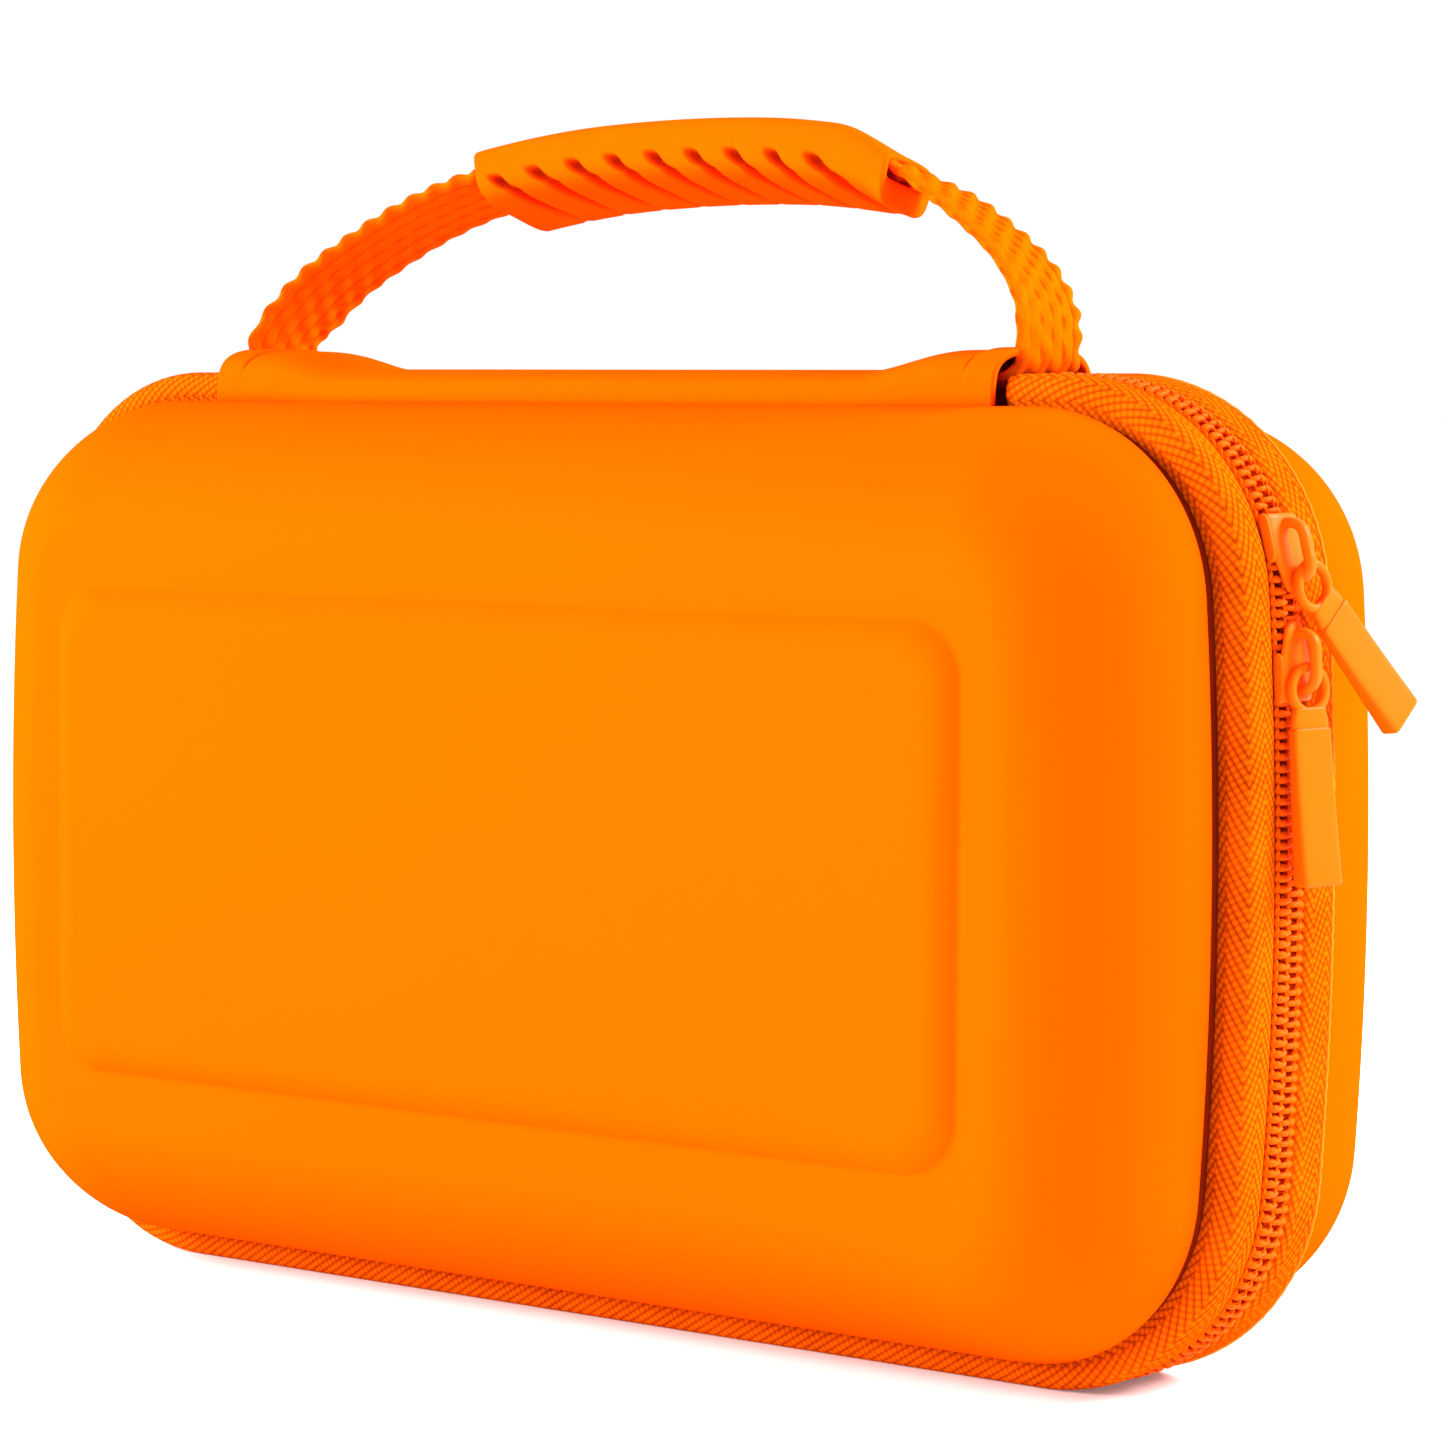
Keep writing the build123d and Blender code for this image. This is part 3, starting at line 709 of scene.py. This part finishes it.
def strap():
    """Webbing of the handle in one length, with its tails under the spine; it rides on no body."""
    count = 42
    across = np.linspace(-1, 1, count)
    rounded = np.sqrt(np.clip(1.02 - np.abs(across) ** 10, 0.02, 1))
    rows, uv = [], []
    for (x, h), (nx, nh), s in zip(centre, normal, centre_s):
        lift = weave(s, across * 9.99)
        edge = 9.55 + 0.45 * np.cos(2 * math.pi * s / WEAVE + math.pi * (across > 0) * (COLUMNS - 1))
        w = across * edge
        thick = (0.5 + 0.82 * lift) * rounded
        under = (0.55 + 0.75 * weave(s + WEAVE / 2, across * 9.99)) * rounded
        for sign, amount, order in ((1, thick, range(count)), (-1, under, range(count - 1, -1, -1))):
            for j in order:
                rows.append(lean_point(x + sign * nx * amount[j], h + sign * nh * amount[j], w[j]))
                uv.append((s, w[j]))
    faces = grid_faces(len(centre), 2 * count, close_columns=True)
    obj = make("handle_webbing", rows, faces, None, WEBBING, "webbing", uv=np.array(uv),
               replaces=["handle_strap", "handle_anchor_left", "handle_anchor_right"])
    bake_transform(obj)


def grip_section(x, angle):
    """Place across and above the centreline of a point of the sleeve's outline."""
    ca, sa = math.cos(angle), math.sin(angle)
    top = GRIP_TOP - 2.2 * float(smooth(x, GRIP_TO - 12, GRIP_TO))
    w = GRIP_HALF * math.copysign(abs(ca) ** 0.5, ca)
    e = (top if sa > 0 else GRIP_BOTTOM) * math.copysign(abs(sa) ** 0.55, sa)
    return w, e


def groove(x, w, e):
    """Depth of the finger grooves, which run down the front face and round under the sleeve."""
    if e > -2.0:
        return 0.0
    along = -e - 3.0 + max(0.0, w + GRIP_HALF) * float(smooth(-e, 4.5, 7.0))
    fade = float(smooth(along, -0.4, 1.4) * (1 - smooth(along, 13.0, 25.0)))
    half_width = 1.3 - 0.5 * float(smooth(along, 7.0, 22.0))
    depth = 0.0
    for k in range(GROOVES):
        middle = FIRST_GROOVE + GROOVE_PITCH * k + 0.8 * min(along, 5.0) + 0.2 * max(along - 5.0, 0.0)
        depth = max(depth, GROOVE_DEPTH * fade * math.exp(-((x - middle) / half_width) ** 4))
    return depth


def grip():
    """Moulded sleeve round the webbing, cut off at a slant at both ends."""
    keep = (centre[:, 0] >= GRIP_FROM) & (centre[:, 0] <= GRIP_TO) & (centre[:, 1] > 20)
    path, tang, norm = centre[keep], tangent[keep], normal[keep]
    n, n_around = len(path), 120
    angles = np.linspace(0, 2 * math.pi, n_around, endpoint=False)

    def place(i, w, e, back=0.0):
        (x, h), (nx, nh), (tx, th) = path[i], norm[i], tang[i]
        right, left = float(smooth(x, GRIP_TO - 14, GRIP_TO)), float(1 - smooth(x, GRIP_FROM, GRIP_FROM + 10))
        slant = -e * (0.42 * right + 0.2 * left)
        slant -= 0.3 * w * right
        return lean_point(x + nx * e + tx * (slant + back), h + nh * e + th * (slant + back), w)

    rings, groove_shade_uv = [], []
    for i in range(n):
        ring = []
        for a in angles:
            w, e = grip_section(path[i][0], a)
            depth = groove(path[i][0], w, e)
            shrink = 1 - depth / GRIP_HALF
            ring.append(place(i, w * shrink, e * shrink))
            # groove depth, carried in UV, is the mask of the painted shade in the grooves
            groove_shade_uv.append((depth / 1.5, 0.0))
        rings.append(ring)
    # both ends: a rounded lip, then an end wall with the slot that the webbing leaves from
    lip = ((0.985, 0.985, 0.35), (0.95, 0.93, 0.6), (0.9, 0.8, 0.65), (0.88, 0.55, 0.5), (0.87, 0.4, 0.2),
           (0.86, 0.36, -0.6), (0.86, 0.36, -9.0))

    def end_ring(i, across, above, back):
        sections = [grip_section(path[i][0], a) for a in angles]
        return [place(i, w * across, e * above, back) for w, e in sections]

    first = [end_ring(0, across, above, -back) for across, above, back in lip]
    last = [end_ring(n - 1, across, above, back) for across, above, back in lip]
    rings = first[::-1] + rings + last
    plain = [(0.0, 0.0)] * (len(lip) * n_around)
    faces = grid_faces(len(rings), n_around, close_columns=True)
    make("handle_grip_sleeve", np.array(rings).reshape(-1, 3), faces, "handle", GRIP, "soft_grip",
         uv=plain + groove_shade_uv + plain, replaces=["handle_grip"])


strap()
grip()


# ---------------------------------------------------------------- sliders and pulls
def slider(name, node, body, centre_xz, radius, angle, nose):
    """Slider on the coil: crowned body, side flanges and the arch that holds the pull.

    nose is +1 or -1: the way it points along the zip."""
    c, s = math.cos(angle), math.sin(angle)

    def put(g, y, z):
        r = radius + g
        return (centre_xz[0] + r * c - z * s, y, centre_xz[1] + r * s + z * c)

    zs = np.concatenate([np.linspace(-6.5, -5.5, 7)[:-1], np.linspace(-5.5, 5.4, 26),
                         np.linspace(5.4, 6.8, 9)[1:]])
    rings = []
    for z in zs:
        end = max(0.0, 1 - max(0.0, (-z - 5.5) / 1.0) ** 2.5) ** 0.4
        tip = max(0.0, 1 - max(0.0, (z - 4.2) / 2.6) ** 2.2) ** 0.5
        half = 0.15 + (4.35 - 1.7 * float(smooth(z, -0.5, 5.5))) * (0.86 + 0.14 * end) * tip
        crown = 0.25 + (0.7 - 0.2 * float(smooth(z, 2, 7))) * min(end, 0.3 + 0.7 * tip)
        ring = []
        for a, b in superellipse(half, 1.0, 2.6, 40):
            dome = crown * b if b > 0 else 0.75 * b
            ring.append(put(6.05 + dome * (1 - 0.25 * (a / 4.5) ** 2), a, z * nose))
        rings.append(ring)
    parts = [loft(rings if nose > 0 else rings[::-1])]
    for side in (-1, 1):
        rings = []
        for z in np.linspace(-6.6, 1.6, 20):
            end = max(0.02, 1 - abs((z + 2.5) / 4.15) ** 6) ** 0.5
            rings.append([put(5.55 + b * end, side * 4.45 + a, z * nose)
                          for a, b in superellipse(0.42, 0.95, 3, 16)])
        parts.append(loft(rings if nose > 0 else rings[::-1]))
    route = spline([(6.2, 4.6), (7.4, 4.75), (8.6, 4.5), (9.6, 3.7), (10.0, 2.3), (10.0, 0.2), (10.0, -1.9),
                    (9.6, -3.3), (8.7, -4.2), (7.4, -4.6), (6.2, -4.5)], 6)
    way = np.gradient(route, axis=0)
    way /= np.linalg.norm(way, axis=1)[:, None]
    rings = []
    for (g, z), (tg, tz) in zip(route, way):
        rings.append([put(g - tz * b, a, (z + tg * b) * nose) for a, b in superellipse(1.15, 0.88, 2.4, 20)])
    parts.append(loft(rings))
    make(name, *joined(parts), body, PAINT, "painted_slider", replaces=[node])


# of a pull, in millimetres from its pivot along it
EYE_CENTRE, EYE_RADIUS, NECK_END, TAG_START = 3.1, 3.68, 10.4, 9.4


def pull(name, node, body, pivot, radial, twist):
    """Pull: a thick round eye, a neck, and a tag that grows thicker towards its free end."""
    mesh = NODES[node].data
    raw = np.zeros(len(mesh.vertices) * 3)
    mesh.vertices.foreach_get("co", raw)
    cad = raw.reshape(-1, 3) / MM - np.array([0.0, ZIP_Y, CENTRE_Z]) / MM
    pivot = np.array(pivot, float)
    away = np.linalg.norm(cad - pivot, axis=1)
    far = cad[away > away.max() - 3.0].mean(axis=0) - pivot
    radial = np.array(radial, float)
    along = far - radial * far.dot(radial)
    along /= np.linalg.norm(along)
    length = (cad - pivot).dot(along).max()
    side = np.cross(radial, along)
    turn = math.radians(twist)
    out = math.cos(turn) * radial + math.sin(turn) * side
    side = np.cross(out, along)

    def put(w, d, t):
        return pivot + side * w + along * d + out * t

    parts = []
    rings = []
    for k in range(48):
        a = 2 * math.pi * k / 48
        ring = []
        for p, q in superellipse(0.78, 0.8, 2.6, 14):
            r = EYE_RADIUS + p
            ring.append(put(r * math.sin(a), EYE_CENTRE - r * math.cos(a), q))
        rings.append(ring)
    parts.append(loft(rings, closed=True))
    rings = []
    for d in np.linspace(EYE_CENTRE + 2.95, NECK_END, 12):
        half = 3.35 + 0.5 * float(smooth(d, EYE_CENTRE + 2.9, 8.8))
        rings.append([put(p, d, q) for p, q in superellipse(half, 0.85, 4, 28)])
    parts.append(loft(rings))
    rings = []
    stops = [(TAG_START, 0.82), (9.45, 0.93), (9.65, 0.985), (10.0, 1.0)]
    stops += [(d, 1.0) for d in np.linspace(11.0, length - 0.8, 22)]
    stops += [(length - 0.35, 0.985), (length - 0.08, 0.94), (length, 0.84)]
    for d, scale in stops:
        share = (d - TAG_START) / (length - TAG_START)
        front, back = 1.1 + 1.5 * share ** 1.5, -0.95
        middle, thick = (front + back) / 2, (front - back) / 2
        half = 4.0 + 0.2 * share
        rings.append([put(p * scale, d, middle + q * scale) for p, q in superellipse(half, thick, 7, 48)])
    parts.append(loft(rings))
    make(name, *joined(parts), body, PAINT, "painted_slider", replaces=[node])


LOWER_ANGLE, UPPER_ANGLE = math.radians(3.107), math.radians(14.2)
slider("lower_slider_casting", "lower_slider", "lower_slider_body", (SIDE_X, 0.0), SIDE, LOWER_ANGLE, 1)
slider("upper_slider_casting", "upper_slider", "upper_slider_body", (CORNER_X, CORNER_Z), CORNER, UPPER_ANGLE, -1)


def joint_place(name):
    """A joint's origin in the case's millimetres."""
    joint = next(j for j in frame["joints"] if j["name"] == name)
    return (np.array(joint["pos_m"]) - np.array([0.0, ZIP_Y, CENTRE_Z])) / MM


pull("lower_pull_tag", "lower_pull", "lower_pull_body", joint_place("lower_pull_flip"),
     (math.cos(LOWER_ANGLE), 0, math.sin(LOWER_ANGLE)), -17)
pull("upper_pull_tag", "upper_pull", "upper_pull_body", joint_place("upper_pull_swing"),
     (math.cos(UPPER_ANGLE), 0, math.sin(UPPER_ANGLE)), -12)


# ---------------------------------------------------------------- card flap and mesh pocket
FLAP_X, FLAP_TOP, FLAP_BOTTOM, FLAP_FRONT, FLAP_BACK = 104.0, 62.0, -58.0, 0.4, 4.4
FLAP_MIDDLE, FLAP_HALF = (FLAP_TOP + FLAP_BOTTOM) / 2, (FLAP_TOP - FLAP_BOTTOM) / 2
SLEEVE_ROWS, SLEEVE_COLUMNS = (-52.0, 0.0), (-76.0, -38.0, 0.0, 38.0, 76.0)
SLEEVE_HALF, SLEEVE_HEIGHT = 17, 44
POCKET_HALF, POCKET_BOTTOM, POCKET_TOP, POCKET_Y = 92, -44, 18, -38.7
PANEL_COUNTS = [30, 10, 18, 10, 60, 10, 18, 10, 30]


def flap_cushion():
    """Padded panel: round edges and a soft crown on both sides."""
    rings = []
    half_x, half_z, radius = FLAP_X - 3.1, FLAP_HALF - 3.1, 13.0
    insets = (38.0, 30.0, 22.0, 15.0, 10.0, 7.0, 5.0, 3.5, 2.4, 1.5, 0.8, 0.3, 0.0)

    def ring(inset, y):
        shape = rounded_rectangle(half_x - inset, half_z - inset, max(radius - inset, 2.0), PANEL_COUNTS)
        rings.append(np.column_stack([shape[:, 0], np.full(len(shape), y), shape[:, 1] + FLAP_MIDDLE]))

    for inset in insets:
        edge = max(0.0, 1 - inset / 6.0)
        ring(inset, FLAP_FRONT + 0.15 + 1.5 * (1 - math.sqrt(max(0.0, 1 - edge ** 2))))
    for inset in insets[::-1]:
        edge = max(0.0, 1 - inset / 9.0)
        fall = 1.8 * (1 - math.sqrt(max(0.0, 1 - edge ** 2))) + 0.25 * math.exp(-inset / 14)
        ring(inset, FLAP_BACK - 0.1 - fall)
    points, faces = loft(rings)
    obj = make("card_flap_cushion", points, faces, "card_flap", FOAM, "stiffener", replaces=["card_flap_pad"])


def piping(name, node, body, half_x, half_z, radius, middle, y, thick):
    """Bound edge: a folded tape round a panel, slightly puckered at each stitch."""
    shape = rounded_rectangle(half_x, half_z, radius, [2 * n for n in PANEL_COUNTS])
    way = np.roll(shape, -1, axis=0) - np.roll(shape, 1, axis=0)
    way /= np.linalg.norm(way, axis=1)[:, None]
    rings = []
    for k, ((x, z), (tx, tz)) in enumerate(zip(shape, way)):
        pucker = 1 + 0.05 * math.sin(k * 1.9)
        rings.append([(x - tz * a, y + b * pucker, z + tx * a + middle)
                      for a, b in superellipse(1.4, thick, 3, 14)])
    make(name, *loft(rings, closed=True), body, LINING, "lining_fabric", replaces=[node])


def sleeve_sheets():
    """Ten mesh sleeves on the flap's front: each bulges a little and has a hem along its open top."""
    nets, hems = [], []
    across, up = np.linspace(-1, 1, 22), np.linspace(0, 1, 24)
    for row in SLEEVE_ROWS:
        for column in SLEEVE_COLUMNS:
            grid = [(column + SLEEVE_HALF * u,
                     FLAP_FRONT - 0.12 - 0.75 * (1 - u ** 4) * math.sin(math.pi * min(v, 0.75)) ** 0.6,
                     row + SLEEVE_HEIGHT * v) for v in up for u in across]
            nets.append((np.array(grid), grid_faces(len(up), len(across))))
            line = [(column + SLEEVE_HALF * u, FLAP_FRONT - 0.45 - 0.35 * (1 - u ** 4), row + SLEEVE_HEIGHT)
                    for u in np.linspace(-1, 1, 24)]
            hems.append(tube(line, 0.55, 8))
    net = make("card_sleeve_nets", *joined(nets), "card_flap", MESH, "mesh", replaces=["card_sleeves"])
    hem = make("card_sleeve_hems", *joined(hems), "card_flap", LINING, "lining_fabric")


def hinge_cloth():
    """Strip of lining that lets the flap swing: sewn to the case above and to the flap below."""
    xs, zs = np.linspace(-90, 90, 80), np.linspace(72.0, 54.0, 30)
    rows = [(x, 5.4 - 0.5 * float(smooth(z, 66, 56)), z) for x in xs for z in zs]
    obj = make("card_flap_hinge_cloth", rows, grid_faces(len(xs), len(zs)), None, LINING, "lining_fabric",
               replaces=["card_flap_hinge"])
    solidify(obj, 0.5)
    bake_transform(obj)


def pocket_net():
    """Mesh pocket in the lid: held at its sides and bottom, slack in the middle, with a gathered elastic top."""
    rows = []
    xs, zs = np.linspace(-POCKET_HALF, POCKET_HALF, 110), np.linspace(POCKET_BOTTOM, POCKET_TOP, 44)
    for z in zs:
        v = (z - POCKET_BOTTOM) / (POCKET_TOP - POCKET_BOTTOM)
        for x in xs:
            u = x / POCKET_HALF
            slack = (1 - u ** 4) * math.sin(math.pi * min(v, 0.8) / 1.6) ** 0.8
            ripple = 0.25 * math.sin(x * 0.55) * v ** 3 * (1 - u ** 4)
            rows.append((x, POCKET_Y + 1.6 * slack + ripple, z - 0.8 * v ** 4 * (1 - u * u)))
    faces = grid_faces(len(zs), len(xs))
    obj = make("mesh_pocket_net", rows, faces, "lid", MESH, "mesh", replaces=["mesh_pocket"])
    hem = make("mesh_pocket_hem", *tube(rows[-len(xs):], 1.0, 10), "lid", LINING, "lining_fabric")


flap_cushion()
piping("card_flap_piping", "card_flap_binding", "card_flap", FLAP_X - 1.5, FLAP_HALF - 1.5, 14.5, FLAP_MIDDLE,
       (FLAP_FRONT + FLAP_BACK) / 2, 2.0)
sleeve_sheets()
hinge_cloth()
pocket_net()
piping("mesh_pocket_piping", "mesh_pocket_binding", "lid", POCKET_HALF + 1.5,
       (POCKET_TOP - POCKET_BOTTOM) / 2 + 1.5, 9.5, (POCKET_TOP + POCKET_BOTTOM) / 2, POCKET_Y, 0.8)


# ---------------------------------------------------------------- materials of the CAD nodes that are kept
KEPT = {
    "rear_lining": LINING, "front_lining": LINING,
    "zip_stops": PAINT, "console_tray": FOAM, "spine_core": STIFF, "spine_lining": LINING,
}
for node, material in KEPT.items():
    obj = NODES[node]
    obj.data.materials.clear()
    obj.data.materials.append(material)


# ---------------------------------------------------------------- floor, light and camera
def stage():
    """White paper floor, white surroundings and two soft lamps."""
    floor_mesh = bpy.data.meshes.new("floor")
    half = 60.0
    corners = [(-half, -half, 0), (half, -half, 0), (half, half, 0), (-half, half, 0)]
    floor_mesh.from_pydata(corners, [], [(0, 1, 2, 3)])
    floor = bpy.data.objects.new("floor", floor_mesh)
    bpy.context.scene.collection.objects.link(floor)
    paper = Nodes("floor_paper")
    paper.set(Roughness=0.9, Emission_Color=(1, 1, 1, 1), Emission_Strength=0.12)
    tone = paper.mix(paper.noise(3, 2), (0.93, 0.93, 0.93, 1), (0.9, 0.9, 0.9, 1))
    paper.link(tone, paper.shader.inputs["Base Color"])
    floor_mesh.materials.append(paper.material)
    world = bpy.data.worlds.new("studio")
    world.use_nodes = True
    background = world.node_tree.nodes["Background"]
    background.inputs["Color"].default_value = (1, 1, 1, 1)
    background.inputs["Strength"].default_value = 1.0
    bpy.context.scene.world = world

    def area(name, place, size, power):
        light = bpy.data.lights.new(name, "AREA")
        light.shape = "RECTANGLE"
        light.size = light.size_y = size
        light.energy = power
        obj = bpy.data.objects.new(name, light)
        bpy.context.scene.collection.objects.link(obj)
        obj.location = place
        obj.rotation_euler = (Vector((0, 0, CENTRE_Z)) - Vector(place)).to_track_quat("-Z", "Y").to_euler()

    area("key", (-0.95, -1.15, 0.62), 0.7, 58)
    area("side", (1.0, 0.8, 0.85), 0.6, 56)


CAMERA_YAW, CAMERA_PITCH, CAMERA_ROLL = math.radians(37.19), math.radians(3.99), math.radians(0.356)
CAMERA_PLACE, FOCAL_LENGTH = (515.55, -653.08, 80.09), 114.67


def camera():
    """Camera to the right of the front, a little above the middle."""
    yaw, pitch, roll = CAMERA_YAW, CAMERA_PITCH, CAMERA_ROLL
    forward = Vector((-math.sin(yaw) * math.cos(pitch), math.cos(yaw) * math.cos(pitch), -math.sin(pitch)))
    right = Vector((math.cos(yaw), math.sin(yaw), 0))
    up = right.cross(forward)
    right, up = (math.cos(roll) * right + math.sin(roll) * up,
                 -math.sin(roll) * right + math.cos(roll) * up)
    data = bpy.data.cameras.new("camera")
    data.sensor_width = 36
    data.lens = FOCAL_LENGTH
    data.clip_end = 50
    obj = bpy.data.objects.new("camera", data)
    bpy.context.scene.collection.objects.link(obj)
    place = to_row([CAMERA_PLACE])[0]
    obj.matrix_world = Matrix(((right.x, up.x, -forward.x, place[0]), (right.y, up.y, -forward.y, place[1]),
                               (right.z, up.z, -forward.z, place[2]), (0, 0, 0, 1)))
    bpy.context.scene.camera = obj


stage()
camera()
bpy.context.scene.view_settings.view_transform = "Standard"
